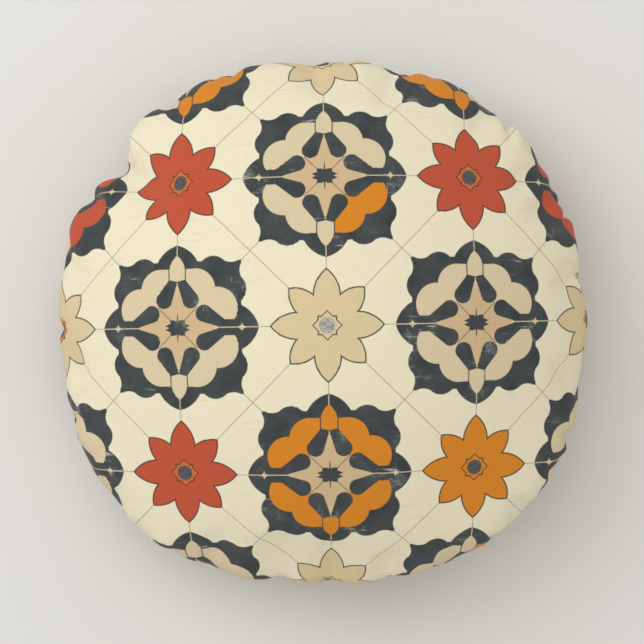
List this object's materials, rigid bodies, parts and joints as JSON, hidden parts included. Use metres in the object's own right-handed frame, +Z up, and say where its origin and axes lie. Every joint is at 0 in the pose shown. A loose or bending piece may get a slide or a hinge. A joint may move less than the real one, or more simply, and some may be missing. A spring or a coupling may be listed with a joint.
{
  "type": "floor cushion",
  "caption": "Round knife-edge floor cushion: a zipped two-panel fabric cover with a tile pattern over a separate fibre-filled insert.",
  "frame": {"origin": "centre of the flat area the cushion rests on", "axes": "+Z up, square to the two panels; the closed end of the zip is at -45 degrees from +X, seen from above"},
  "size_m": [0.65, 0.6499, 0.272],
  "materials": {
    "cover_cloth": "matte printed plain weave, cream ground with slate, sand, red and orange tile motifs",
    "thread": "cream polyester sewing thread",
    "label": "white woven ribbon, blank",
    "zip_tape": "cream knitted tape",
    "zip_coil": "cream nylon coil",
    "zip_metal": "satin nickel plate on cast zinc",
    "lining": "white plain-weave lining cloth",
    "filling": "white polyester hollow fibre"
  },
  "bodies": {
    "root": {"cover_top_panel": "cover_cloth", "cover_bottom_panel": "cover_cloth", "cover_seam_thread": "thread", "care_label": "label", "zip_tape_upper": "zip_tape", "zip_tape_lower": "zip_tape", "zip_coil_upper": "zip_coil", "zip_coil_lower": "zip_coil", "zip_stitching_upper": "thread", "zip_stitching_lower": "thread", "zip_top_stops": "zip_metal", "zip_bottom_stop": "zip_metal", "insert_top_panel": "lining", "insert_bottom_panel": "lining", "insert_seam_thread": "thread", "insert_closing_thread": "thread", "fibre_fill": "filling"},
    "zip_slider": {"zip_slider": "zip_metal", "zip_pull_pin": "zip_metal"},
    "pull_tab": {"zip_pull_tab": "zip_metal"}
  },
  "joints": [
    {"name": "zip_run", "type": "hinge", "parent": "root", "child": "zip_slider", "pos_m": [0, 0, 0.104], "axis": [0, 0, -1], "range_deg": [0, 104.4]},
    {"name": "pull_tab_swing", "type": "hinge", "parent": "zip_slider", "child": "pull_tab", "pos_m": [0.22154, -0.22379, 0.104], "axis": [-0.7107, -0.7035, 0], "range_deg": [0, 100]}
  ]
}
